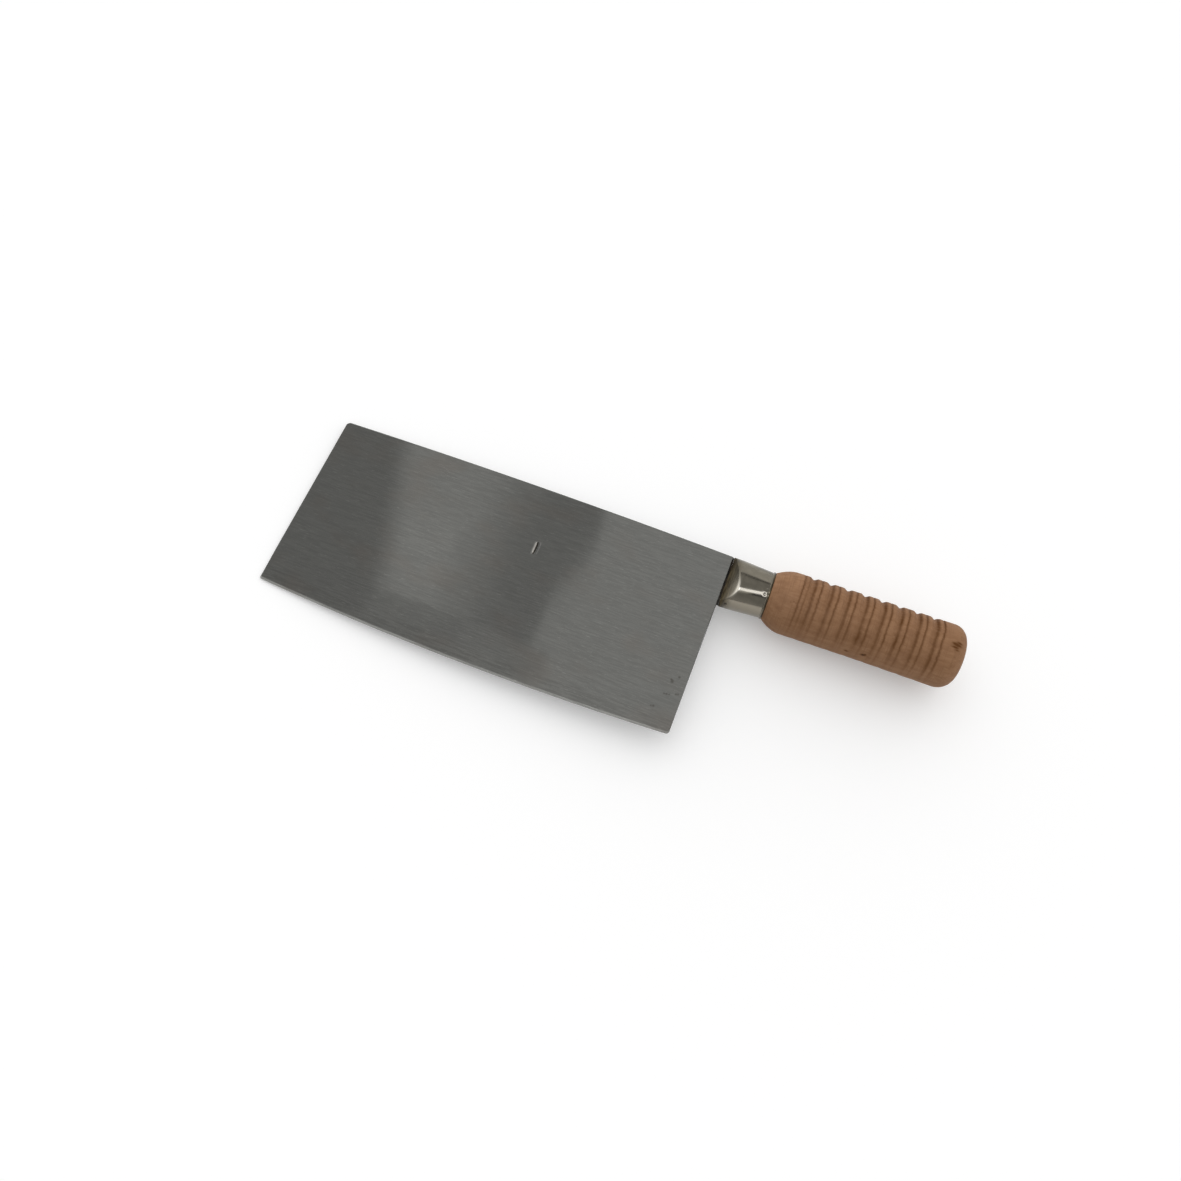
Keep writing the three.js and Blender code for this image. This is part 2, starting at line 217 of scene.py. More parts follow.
# The grey fields, drawn where they show on the cheek: one over the toe and one over the middle, each
# with veils that soften its side towards the bright part between them.
past_spine = 60
field_foot = -97
past_edge = -160
past_toe = -80
toe_side = [(24, past_spine), (32, -7), (47, -59), (54, -84), (54, field_foot)]
foot_start = 58
foot_middle = 110
foot_end = 156
toe_flag_rest = [
    (foot_start, field_foot), (foot_start, past_edge), (past_toe, past_edge), (past_toe, past_spine)]
hang_card("toe_flag", 0.6, over_blade(toe_side + toe_flag_rest))
toe_veil_count = 4
toe_veil_width = 2.5
toe_veil_darkest = 0.68
toe_veil_palest = 0.95
for i in range(toe_veil_count):
    near_side = [(x + toe_veil_width * i, y) for x, y in toe_side]
    far_side = [(x + toe_veil_width * (i + 1), y) for x, y in reversed(toe_side)]
    veil_brightness = lerp(toe_veil_darkest, toe_veil_palest, i / (toe_veil_count - 1))
    hang_card(f"toe_veil_{i}", veil_brightness, over_blade(near_side + far_side))
middle_start = 122
middle_side = [
    (150, past_spine), (152, -4), (157, -24), (155, -38), (149, -50), (144.5, -59), (144.5, field_foot)]
hang_card("middle_flag", 0.63, over_blade(
    [(middle_start, past_spine)] + middle_side + [(middle_start, field_foot)]))
middle_veils_start = 86
middle_veil_count = 6
middle_veil_palest = 0.97
middle_veil_darkest = 0.66
for i in range(middle_veil_count):
    veil_from = lerp(middle_veils_start, middle_start, i / middle_veil_count)
    veil_to = lerp(middle_veils_start, middle_start, (i + 1) / middle_veil_count)
    veil_brightness = lerp(middle_veil_palest, middle_veil_darkest, i / (middle_veil_count - 1))
    veil = oblong(veil_from, veil_to, past_spine, field_foot)
    hang_card(f"middle_veil_{i}", veil_brightness, over_blade(veil))
hang_card("low_glow", 1.1, over_blade([(53, -42), (86, -42), (86, -84), (65, -84)]))
hang_card("foot_flag", 0.7, over_blade(oblong(foot_start, foot_middle, field_foot, past_edge)))
hang_card("foot_veil", 0.8, over_blade(oblong(foot_middle, foot_end, field_foot, past_edge)))

# A wide grey flag stands in front of the edge. Small cards hang close over the ferrule, and a pale one
# lies low behind it. Their reaches keep the flag and the small cards out of mirrors that are far away.
near_reach = (750 * mm, 1000 * mm)
flag_reach = (76 * mm, 80 * mm)
strip_reach = (54 * mm, 58 * mm)
near_half_width = 900
near_foot = -700
near_top = -444
near_height = 700
flag_height = 70
strip_height = 50
veil_height = -12
cool = (0.93, 0.96, 1.06)
near_corners = [
    (-near_half_width, near_foot, 0),
    (near_half_width, near_foot, 0),
    (near_half_width, near_top, near_height),
    (-near_half_width, near_top, near_height),
]
hang_card("near_flag", 0.45, near_corners, reach=near_reach)
hang_card("hilt_flag", 0.52, raised(oblong(226, 270, -30, 22), flag_height), reach=flag_reach)
hang_card("hilt_rim", 0.25, raised(oblong(226, 270, 22, 38), flag_height), reach=flag_reach)
hang_card("hilt_shade", 0.1, raised(oblong(242, 262, -50, -37), strip_height), reach=strip_reach)
hang_card("hilt_strip", 4.4, raised(oblong(232, 262, -37, -26), strip_height), cool, strip_reach)
hang_card("hilt_veil", 0.75, raised(oblong(241, 300, 0, 120), veil_height))

# Blade: one plate of carbon steel, ground satin along its length, that thins towards edge and toe.
# The foot of each cheek and the cutting edge are ground steeper, and a plain tick is punched in the
# upper cheek. A stub at the heel, nearly black from the forge and as painted shade for the gap, goes
# into the ferrule and holds the blade there.
blade_length = 225.5 * mm
blade_height = 101 * mm
edge_belly = 3.6 * mm
spine_at_toe = 3.2 * mm
spine_at_heel = 4.0 * mm
cheek_fall = 2.0 * mm
grind_height = 18 * mm
grind_fall = 0.5 * mm
bevel_width = 8 * mm
fine_edge_width = 1.2 * mm
fine_edge_thickness = 0.5 * mm
toe_spine_corner = 2.4 * mm
toe_edge_corner = 1.2 * mm
heel_spine_corner = 0.3 * mm
heel_edge_corner = 1.6 * mm
arris = 0.35 * mm
grip_start = 225 * mm
grip_drop = 13.95 * mm
handle_rise = math.radians(0.95)
stub_thickness = 3.4 * mm
stub_root = 2 * mm
neck_height = 27.5 * mm
neck_end = 1.15 * mm
stub_height = 18.8 * mm
stub_end = 14.7 * mm
# The hilt's own frame starts at the heel, with X along the handle, which rises slightly from the blade.
hilt = Matrix.Translation((grip_start, -grip_drop, 0)) @ Matrix.Rotation(handle_rise, 4, "Z")


def clamp(value):
    return min(max(value, 0), 1)


def smooth(start, end, value):
    """0 up to the start and 1 from the end, with an easy curve between them."""
    share = clamp((value - start) / (end - start))
    return share * share * (3 - 2 * share)


def skin(name, rings, joined, place, crease):
    """A closed piece stretched over rings of points, each ring running from +Y towards +Z.
    The ends are capped, or joined to each other where the piece is a tube."""
    sides = len(rings[0])
    faces = []
    for i in range(len(rings) if joined else len(rings) - 1):
        here = i * sides
        after = (i + 1) % len(rings) * sides
        for j in range(sides):
            k = (j + 1) % sides
            faces.append((here + j, here + k, after + k, after + j))
    if not joined:
        last = (len(rings) - 1) * sides
        faces.append(tuple(reversed(range(sides))))
        faces.append(tuple(range(last, last + sides)))
    mesh = bpy.data.meshes.new(name)
    mesh.from_pydata([point for ring in rings for point in ring], [], faces)
    mesh.polygons.foreach_set("use_smooth", [True] * len(mesh.polygons))
    mesh.set_sharp_from_angle(angle=crease)
    made = bpy.data.objects.new(name, mesh)
    scene.collection.objects.link(made)
    made.matrix_world = place
    return made


def carve(made, tool, operation):
    """Joins a tool to a piece, or cuts it out of the piece, and takes the tool away."""
    step = made.modifiers.new("carve", "BOOLEAN")
    step.operation = operation
    step.solver = "EXACT"
    step.material_mode = "TRANSFER"
    step.object = tool
    carved = made.evaluated_get(bpy.context.evaluated_depsgraph_get())
    made.data = bpy.data.meshes.new_from_object(carved)
    made.modifiers.clear()
    bpy.data.objects.remove(tool)


def oval(x, half_height, half_thickness, squareness, sides):
    """A ring across the hilt: an ellipse at squareness 2, and nearer to a rectangle above that."""
    ring = []
    for j in range(sides):
        angle = 2 * math.pi * j / sides
        cos = math.cos(angle)
        sin = math.sin(angle)
        y = half_height * math.copysign(abs(cos) ** (2 / squareness), cos)
        z = half_thickness * math.copysign(abs(sin) ** (2 / squareness), sin)
        ring.append(Vector((x, y, z)))
    return ring


def rounded_off(radius, distance):
    """What a rounding of this radius takes away at a distance from the corner."""
    if distance >= radius:
        return 0
    return radius - math.sqrt(radius ** 2 - (radius - distance) ** 2)


def arch(height, x):
    return height * (1 - (2 * x / blade_length - 1) ** 2)


def spine_line(x):
    corners = rounded_off(toe_spine_corner, x) + rounded_off(heel_spine_corner, blade_length - x)
    return arch(spine_crown, x) - corners


def edge_line(x):
    corners = rounded_off(toe_edge_corner, x) + rounded_off(heel_edge_corner, blade_length - x)
    return -blade_height - arch(edge_belly, x) + corners


def bevel_line(x):
    return -blade_height - arch(edge_belly, x) + bevel_width


def cheek_half(x, y):
    return (lerp(spine_at_toe, spine_at_heel, x / blade_length) + cheek_fall * y / blade_height) / 2


def filed_heel(x, y):
    """How far the filing by the ferrule bites into the heel."""
    bite = 0.4 * mm
    reach = 2 * mm
    tooth_size = 1.3 * mm
    ferrule_foot = -28 * mm
    if not ferrule_foot < y < 0:
        return 0
    tooth = abs(noise.noise(Vector((y / tooth_size, 0, 0))))
    return bite * tooth * clamp(1 - (blade_length - x) / reach)


def blade_ring(x):
    """The blade's outline across its length: one cheek from spine to edge, and back up the other."""
    arris_steps = 4
    cheek_rows = 140
    foot_rows = 20
    bevel_rows = 12
    waviness = 0.04 * mm
    wave_size = 38 * mm
    thinnest = 0.05 * mm
    spine = spine_line(x)
    grind = grind_height - blade_height
    bevel = bevel_line(x)
    edge = edge_line(x)
    fine = edge + fine_edge_width
    grind_half = cheek_half(x, grind)
    bevel_half = cheek_half(x, bevel) - grind_fall / 2
    taken_off = rounded_off(arris, min(x, blade_length - x))
    rows = []
    for i in range(arris_steps):
        rise = math.pi / 2 * i / arris_steps
        y = spine - arris * (1 - math.cos(rise))
        rows.append((y, cheek_half(x, y) - arris * (1 - math.sin(rise))))
    for i in range(cheek_rows):
        y = lerp(spine - arris, grind, i / cheek_rows)
        wave = waviness * noise.noise(Vector((x, y, 0)) / wave_size)
        rows.append((y, cheek_half(x, y) + wave * smooth(0, 1, (cheek_rows - i) / cheek_rows)))
    for i in range(foot_rows):
        rows.append((lerp(grind, bevel, i / foot_rows), lerp(grind_half, bevel_half, i / foot_rows)))
    for i in range(bevel_rows + 1):
        share = i / bevel_rows
        rows.append((lerp(bevel, fine, share), lerp(bevel_half, fine_edge_thickness / 2, share)))
    upper = [Vector((x - filed_heel(x, y), y, max(z - taken_off, thinnest))) for y, z in rows]
    lower = [Vector((point.x, point.y, -point.z)) for point in reversed(upper)]
    return upper + [Vector((x, edge, 0))] + lower


def blade_stations():
    corner_steps = 14
    plain_steps = 110
    toe_corner = max(toe_spine_corner, toe_edge_corner)
    heel_corner = max(heel_spine_corner, heel_edge_corner)
    eased = [1 - math.cos(math.pi / 2 * i / corner_steps) for i in range(corner_steps)]
    plain = [lerp(toe_corner, blade_length - heel_corner, i / plain_steps) for i in range(plain_steps + 1)]
    return [toe_corner * e for e in eased] + plain + [blade_length - heel_corner * e for e in reversed(eased)]


def streaks(tree, length, width, detail):
    """Noise drawn out along X, as grinding and wood grain are."""
    place = node(tree, "ShaderNodeTexCoord").outputs["Object"]
    drawn_out = node(
        tree, "ShaderNodeMapping", {0: place, 3: (1 / length, 1 / width, 1 / width)}, vector_type="POINT")
    return node(
        tree, "ShaderNodeTexNoise",
        {"Vector": drawn_out.outputs[0], "Scale": 1, "Detail": detail, "Roughness": 0.6}).outputs[0]


def mixed(tree, share, first, second):
    return node(tree, "ShaderNodeMix", {0: share, 6: first, 7: second}, data_type="RGBA").outputs[2]


def bumped(tree, height, distance, strength, normal=None):
    inputs = {"Height": height, "Distance": distance, "Strength": strength}
    if normal:
        inputs["Normal"] = normal
    return node(tree, "ShaderNodeBump", inputs).outputs[0]


def finish(name):
    """A new material, its node tree and its shader."""
    made = bpy.data.materials.new(name)
    made.use_nodes = True
    return made, made.node_tree, made.node_tree.nodes["Principled BSDF"]


def spot(tree, middle, core, edge, strength):
    """Full strength within a core round a place on the piece, and none from its edge on."""
    place = node(tree, "ShaderNodeTexCoord").outputs["Object"]
    distance = node(tree, "ShaderNodeVectorMath", {0: place, 1: middle}, operation="DISTANCE")
    return ranged(tree, distance.outputs["Value"], core, edge, strength, 0)


# Rust pits in the upper cheek: distance from the toe, height from the spine, and radius.
heel_pits = [
    (218.3, -75.4, 1.1),
    (217.6, -74.5, 0.7),
    (220.9, -72.1, 0.8),
    (216.6, -82.6, 0.6),
    (217.8, -82.4, 0.7),
    (219.1, -82.2, 0.5),
    (222.2, -80.9, 0.6),
    (223.2, -80.6, 0.6),
    (213.8, -90.4, 0.8),
    (212.6, -90.7, 0.6),
]


def pitted(tree, colour, pits):
    """A colour with soft dark spots of rust laid over it."""
    rust = (0.05, 0.043, 0.036, 1)
    for x, y, radius in pits:
        middle = Vector((x, y, 0)) * mm
        middle.z = cheek_half(middle.x, middle.y)
        colour = mixed(tree, spot(tree, middle, 0.1 * radius * mm, 1.3 * radius * mm, 0.6), colour, rust)
    return colour


def ground_steel(name, dark, light, tarnish, roughness, pits=()):
    """Steel ground lengthwise: short scratches, broader passes of the wheel, small bright specks and a
    faint brown tarnish."""
    made, tree, shader = finish(name)
    scratch = streaks(tree, 4.2 * mm, 0.36 * mm, 4)
    wheel = streaks(tree, 12 * mm, 0.7 * mm, 3)
    speck = streaks(tree, 0.8 * mm, 0.5 * mm, 2)
    cloud = streaks(tree, 40 * mm, 26 * mm, 2)
    freshness = 1.32
    fresh = tuple(freshness * share for share in light[:3]) + (1,)
    passes = mixed(tree, ranged(tree, wheel, 0.36, 0.64, 0.15, 0.85), dark, light)
    scratched = mixed(tree, ranged(tree, scratch, 0.57, 0.74, 0, 1), passes, fresh)
    specked = mixed(tree, ranged(tree, speck, 0.62, 0.78, 0, 0.8), scratched, fresh)
    stained = mixed(tree, ranged(tree, cloud, 0.5, 0.75, 0, 0.3), specked, tarnish)
    tree.links.new(pitted(tree, stained, pits), shader.inputs["Base Color"])
    rough = ranged(tree, scratch, 0.3, 0.7, roughness - 0.02, roughness + 0.02)
    tree.links.new(rough, shader.inputs["Roughness"])
    tree.links.new(bumped(tree, scratch, 0.002 * mm, 0.2), shader.inputs["Normal"])
    shader.inputs["Metallic"].default_value = 1
    shader.inputs["Anisotropic"].default_value = 0.8
    shader.inputs["Anisotropic Rotation"].default_value = 0.25
    grinding = node(tree, "ShaderNodeTangent", direction_type="UV_MAP", uv_map="lengthwise")
    tree.links.new(grinding.outputs[0], shader.inputs["Tangent"])
    return made


def oxide_and_gap_shade(name):
    """Steel as it left the forge: rough, nearly black, with rusty clouds. Its darkness is also painted
    shade for the gap between the heel and the ferrule.
    """
    made, tree, shader = finish(name)
    cloud = streaks(tree, 3 * mm, 3 * mm, 4)
    tree.links.new(
        mixed(tree, ranged(tree, cloud, 0.4, 0.7, 0, 1), (0.012, 0.011, 0.009, 1), (0.05, 0.035, 0.022, 1)),
        shader.inputs["Base Color"])
    tree.links.new(ranged(tree, cloud, 0.3, 0.7, 0.6, 0.85), shader.inputs["Roughness"])
    tree.links.new(bumped(tree, cloud, 0.1 * mm, 0.5), shader.inputs["Normal"])
    shader.inputs["Metallic"].default_value = 0.4
    return made


def fit_uv(mesh):
    """A flat map of the blade with U along its length, which gives the grinding its direction."""
    sheet = mesh.uv_layers.new(name="lengthwise")
    for corner in mesh.loops:
        place = mesh.vertices[corner.vertex_index].co
        sheet.data[corner.index].uv = (place.x / blade_length, place.y / blade_length)


def punch_tick(made):
    """A plain straight mark, struck with a chisel-ended punch: V-shaped, with rounded ends. The wall
    towards the toe gets a painted highlight, and the other wall painted shade."""
    middle = Vector((126.8, -33.1, 0)) * mm
    half_length = 3.8 * mm
    half_width = 0.95 * mm
    depth = 0.45 * mm
    painted_shade_from = middle.x - 0.2 * mm
    sides = 48
    end_form = 0.6
    surface = cheek_half(middle.x, middle.y)
    rings = []
    levels = [(-1, 0.12), (-0.6, 0.6), (0, 1), (1, 1.7)]
    for level, share in levels:
        ring = []
        for j in range(sides):
            angle = 2 * math.pi * j / sides
            along = math.copysign(abs(math.sin(angle)) ** end_form, math.sin(angle))
            x = half_width * share * math.cos(angle)
            y = (half_length - half_width * (1 - share)) * along
            ring.append(middle + Vector((x, y, surface + level * depth)))
        rings.append(ring)
    punch = skin("punch", rings, False, lie, math.radians(30))
    punch.data.materials.append(punch_painted_highlight)
    punch.data.materials.append(punch_painted_shade)
    # The walls past the middle take the painted shade, and the others the painted highlight.
    for face in punch.data.polygons:
        face.material_index = int(face.center.x > painted_shade_from)
    carve(made, punch, "DIFFERENCE")


cheek_steel = ground_steel(
    "cheek_steel", (0.134, 0.1345, 0.127, 1), (0.166, 0.1665, 0.157, 1), (0.155, 0.134, 0.116, 1), 0.105,
    heel_pits)
bevel_steel = ground_steel(
    "bevel_steel", (0.12, 0.12, 0.113, 1), (0.17, 0.17, 0.16, 1), (0.16, 0.14, 0.122, 1), 0.13)
edge_steel = ground_steel(
    "edge_steel", (0.2, 0.2, 0.19, 1), (0.3, 0.3, 0.285, 1), (0.22, 0.2, 0.18, 1), 0.22)
# Lit and shaded copies of the ground steel: painted highlight and painted shade for the tick's walls.
punch_painted_highlight = ground_steel(
    "punch_painted_highlight", (0.27, 0.255, 0.235, 1), (0.42, 0.4, 0.37, 1), (0.3, 0.27, 0.24, 1), 0.25)
punch_painted_shade = ground_steel(
    "punch_painted_shade", (0.02, 0.018, 0.015, 1), (0.05, 0.045, 0.038, 1), (0.03, 0.022, 0.016, 1), 0.4)
blade = skin("cleaver_blade", [blade_ring(x) for x in blade_stations()], False, lie, math.radians(30))
for steel in (cheek_steel, bevel_steel, edge_steel):
    blade.data.materials.append(steel)
for face in blade.data.polygons:
    above_edge = face.center.y - edge_line(clamp(face.center.x / blade_length) * blade_length)
    face.material_index = (above_edge < bevel_width) + (above_edge < fine_edge_width)
oxide_and_shade = oxide_and_gap_shade("oxide_and_gap_shade")
stub_corners = 12
stub_sides = 48
# The stub and the neck that fills the heel gap: dark from the forge, and painted shade in that gap.
for end, height in ((neck_end, neck_height), (stub_end, stub_height)):
    bar_rings = [
        oval(x, height / 2, stub_thickness / 2, stub_corners, stub_sides) for x in (-stub_root, 0, end)]
    bar = skin("stub", bar_rings, False, lie @ hilt, math.radians(30))
    bar.data.materials.append(oxide_and_shade)
    carve(blade, bar, "UNION")
punch_tick(blade)
fit_uv(blade.data)
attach(blade, "root")
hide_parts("blade")

# Ferrule: one sleeve of nickel-plated sheet, pressed flat at the mouth to close round the stub and
# left round at the wood, with a bead rolled into its rear rim.
heel_gap = 1.2 * mm
ferrule_length = 22.8 * mm
ferrule_wall = 1.2 * mm
mouth_height = 27.2 * mm
mouth_thickness = 7.6 * mm
hip_thickness = 22.4 * mm
hip_setback = 5.5 * mm
hip_skew = 0.27
sleeve_radius = 12.2 * mm
socket_radius = 10.6 * mm
socket_depth = 8 * mm
rear_bead = 0.45 * mm
rear_bead_width = 1.4 * mm
lip_radius = 0.45 * mm
press_radius = 0.9 * mm
ferrule_sides = 224
ferrule_end = heel_gap + ferrule_length


def pressed_half(x, y):
    """Half the thickness that the press leaves at a place: the slot's at the mouth, more towards the hip."""
    run = hip_setback - hip_skew * y
    return mouth_thickness / 2 + (hip_thickness - mouth_thickness) / 2 * (x - heel_gap) / run


def soft_limit(value, limit, radius):
    """The smaller of two heights, with a fold of this radius where they cross."""
    share = clamp(0.5 + 0.5 * (limit - value) / radius)
    return lerp(limit, value, share) - radius * share * (1 - share) / 2


def sleeve_form(x):
    """Half the height, half the thickness and the squareness of the sleeve before the press flattens it."""
    share = clamp((x - heel_gap) / (ferrule_length - rear_bead_width))
    half_height = lerp(mouth_height / 2, sleeve_radius, share)
    half_thickness = lerp(hip_thickness / 2, sleeve_radius, share)
    at_mouth = 2.1
    at_hip = 2.4
    squareness = lerp(lerp(at_mouth, at_hip, smooth(0, 0.3, share)), 2, share)
    return half_height, half_thickness, squareness


def sleeve_ring(x, inset):
    """The ferrule's section at a place, less an inset all round."""
    thinnest = 0.2 * mm
    half_height, half_thickness, squareness = sleeve_form(x)
    ring = oval(x, half_height - inset, half_thickness - inset, squareness, ferrule_sides)
    for point in ring:
        limit = max(pressed_half(x, point.y) - inset, thinnest)
        point.z = math.copysign(soft_limit(abs(point.z), limit, press_radius), point.z)
    return ring


def fold_highlight_at(point):
    """1 at a painted highlight along the folds round the press's flat facets, strongest a little
    towards the edge's side, and 0 away from there.
    """
    reach = 0.7 * mm
    highlight_at = -5.8 * mm
    highlight_reach = 4.2 * mm
    half_height, half_thickness, squareness = sleeve_form(point.x)
    round_share = clamp(1 - clamp(abs(point.y) / half_height) ** squareness) ** (1 / squareness)
    to_fold = (half_thickness * round_share - pressed_half(point.x, point.y)) / reach
    to_corner = (point.y - highlight_at) / highlight_reach
    return math.exp(-to_fold ** 2 - to_corner ** 2)


def round_ring(x, radius, sides):
    return oval(x, radius, radius, 2, sides)


def ferrule_rings():
    """From the lip of the mouth over the outside to the rear bead, and back through the inside."""
    lip_steps = 5
    press_steps = 70
    bead_steps = 12
    inner_steps = 12
    bead_start = ferrule_end - rear_bead_width
    socket_floor = ferrule_end - socket_depth
    socket_step = 1 * mm
    cavity_end = socket_floor - socket_step
    rings = []
    for i in range(lip_steps):
        rise = math.pi / 2 * i / lip_steps
        back = lip_radius * (1 - math.cos(rise))
        inset = lip_radius * (1 - math.sin(rise))
        rings.append(sleeve_ring(heel_gap + back, inset))
    for i in range(press_steps + 1):
        rings.append(sleeve_ring(lerp(heel_gap + lip_radius, bead_start, i / press_steps), 0))
    for i in range(1, bead_steps + 1):
        share = i / bead_steps
        height = rear_bead * math.sqrt(abs(math.sin(math.pi * share)))
        rings.append(round_ring(lerp(bead_start, ferrule_end, share), sleeve_radius + height, ferrule_sides))
    rings.append(round_ring(ferrule_end, socket_radius, ferrule_sides))
    rings.append(round_ring(socket_floor, socket_radius, ferrule_sides))
    for i in range(inner_steps):
        rings.append(sleeve_ring(lerp(cavity_end, heel_gap, i / (inner_steps - 1)), ferrule_wall))
    return rings


def plated_nickel(name):
    """Old nickel plate: bright, a little warm, with soft dents. Brown soiling and painted shade
    darken the mouth and the rear seam, painted highlights run along the folds, and a painted
    reflection of the table lightens the edge's side.
    """
    made, tree, shader = finish(name)
    cloud = streaks(tree, 5 * mm, 4 * mm, 3)
    speck = streaks(tree, 0.7 * mm, 0.5 * mm, 2)
    smear = streaks(tree, 0.9 * mm, 6 * mm, 3)
    place = node(tree, "ShaderNodeTexCoord").outputs["Object"]
    axes = node(tree, "ShaderNodeSeparateXYZ", {0: place}).outputs
    along = axes["X"]
    dull = (0.185, 0.168, 0.134, 1)
    bright = (0.22, 0.2, 0.16, 1)
    clouded = mixed(tree, ranged(tree, cloud, 0.35, 0.7, 0, 1), dull, bright)
    # Lighter towards the edge's side: a painted reflection of the white table.
    painted_table_reflection = ranged(tree, axes["Y"], -11.5 * mm, -8.5 * mm, 0.9, 0)
    plate = mixed(tree, painted_table_reflection, clouded, (0.275, 0.248, 0.2, 1))
    # A painted highlight: the plate is far brighter where the fold attribute is high.
    fold = node(tree, "ShaderNodeAttribute", attribute_name="fold").outputs["Fac"]
    fold_highlighted = mixed(tree, fold, plate, (0.8, 0.755, 0.66, 1))
    # Brown soiling and painted shade: darker towards the mouth, and on the bead by the rear seam.
    dark_mouth_end = heel_gap + 6.5 * mm
    mouth = ranged(tree, along, heel_gap, dark_mouth_end, 1, 0)
    seam = ranged(tree, along, ferrule_end - 1.3 * mm, ferrule_end - 0.5 * mm, 0, 0.85)
    soil_and_shade = node(tree, "ShaderNodeMath", {0: mouth, 1: seam}, operation="MAXIMUM").outputs[0]
    soil_and_shade_colour = mixed(
        tree, ranged(tree, smear, 0.4, 0.6, 0, 1), (0.026, 0.018, 0.008, 1), (0.1, 0.078, 0.042, 1))
    soiled_and_shaded = mixed(tree, soil_and_shade, fold_highlighted, soil_and_shade_colour)
    pit = spot(tree, Vector((4.5, -13, 2.8)) * mm, 0.3 * mm, 1.1 * mm, 0.9)
    tree.links.new(mixed(tree, pit, soiled_and_shaded, (0.02, 0.016, 0.012, 1)), shader.inputs["Base Color"])
    sheen = ranged(tree, speck, 0.3, 0.75, 0.12, 0.2)
    caked = ranged(tree, along, heel_gap + 0.5 * mm, heel_gap + 4 * mm, 0.6, 0)
    # The folds are smoother too, which sharpens the painted highlight.
    fold_gloss = ranged(tree, fold, 0, 1, 1, 0.6)
    smoothed = node(tree, "ShaderNodeMath", {0: sheen, 1: fold_gloss}, operation="MULTIPLY").outputs[0]
    rough = node(tree, "ShaderNodeMath", {0: smoothed, 1: caked}, operation="MAXIMUM").outputs[0]
    tree.links.new(rough, shader.inputs["Roughness"])
    tree.links.new(bumped(tree, cloud, 0.1 * mm, 0.2), shader.inputs["Normal"])
    bare = ranged(tree, along, heel_gap, dark_mouth_end, 0.35, 1)
    tree.links.new(bare, shader.inputs["Metallic"])
    shader.inputs["Specular IOR Level"].default_value = 0.1
    return made


def nick(made):
    """Small knocks by the rear bead: distance from the rear rim, and angle from the spine."""
    depth = 0.25 * mm
    size = 0.8 * mm
    knocks = [(2.6, 113), (1.1, 108), (2.1, 101), (0.9, 97)]
    for from_rim, degrees in knocks:
        side = math.radians(degrees)
        middle = Vector((
            ferrule_end - from_rim * mm, sleeve_radius * math.cos(side), sleeve_radius * math.sin(side)))
        for vertex in made.data.vertices:
            push = depth * math.exp(-((vertex.co - middle).length / size) ** 2)
            vertex.co -= push * Vector((0, vertex.co.y, vertex.co.z)).normalized()


ferrule = skin("ferrule_sleeve", ferrule_rings(), True, lie @ hilt, math.radians(40))
nick(ferrule)
# The mask of the painted highlight along the folds, kept on the sleeve's points.
folds = [fold_highlight_at(vertex.co) for vertex in ferrule.data.vertices]
ferrule.data.attributes.new("fold", "FLOAT", "POINT").data.foreach_set("value", folds)
ferrule.data.materials.append(plated_nickel("plated_nickel"))
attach(ferrule, "root")
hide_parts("ferrule")


# Bedding: dark resin cast into the ferrule round the stub and the end of the rod.
# Only its front shows, deep in the ferrule's mouth.
def cast_resin(name):
    made, tree, shader = finish(name)
    cloud = streaks(tree, 2 * mm, 2 * mm, 3)
    tree.links.new(
        mixed(tree, cloud, (0.012, 0.01, 0.008, 1), (0.03, 0.026, 0.02, 1)), shader.inputs["Base Color"])
    tree.links.new(ranged(tree, cloud, 0.3, 0.7, 0.6, 0.85), shader.inputs["Roughness"])
    tree.links.new(bumped(tree, cloud, 0.1 * mm, 0.4), shader.inputs["Normal"])
    return made


def refinish(cad_name, material):
    """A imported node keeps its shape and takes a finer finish."""
    shape = frame["nodes"][cad_name]
    shape.data.materials.clear()
    shape.data.materials.append(material)
    return shape


refinish("bedding", cast_resin("cast_resin"))

# Tang rod: a round mild steel bar, forked over the stub and welded to it, that runs through the wood.
# Its far end is peened over the washer with a hammer. The two weld beads stay inside the bedding.
rod_radius = 3.5 * mm
slot_half = 2.0 * mm
fork_nose = 9.38 * mm
fork_root = 15.0 * mm
head_back = 120.6 * mm
head_radius = 5.2 * mm
head_height = 1.6 * mm
under_head = 0.3 * mm
rod_sides = 96


def rod_rings():
    dome_steps = 14
    rings = [round_ring(x, rod_radius, rod_sides) for x in (fork_nose, fork_root, head_back - under_head)]
    rings.append(round_ring(head_back, rod_radius, rod_sides))
    for i in range(dome_steps):
        rise = math.pi / 2 * i / dome_steps
        rings.append(round_ring(
            head_back + head_height * math.sin(rise), head_radius * math.cos(rise), rod_sides))
    return rings


def hammer(made):
    """Shallow flats where the hammer struck the head."""
    blow_size = 2.2 * mm
    blow_depth = 0.18 * mm
    rim = 0.2 * mm
    for vertex in made.data.vertices:
        if vertex.co.x > head_back + rim:
            vertex.co.x -= blow_depth * abs(noise.noise(vertex.co / blow_size))


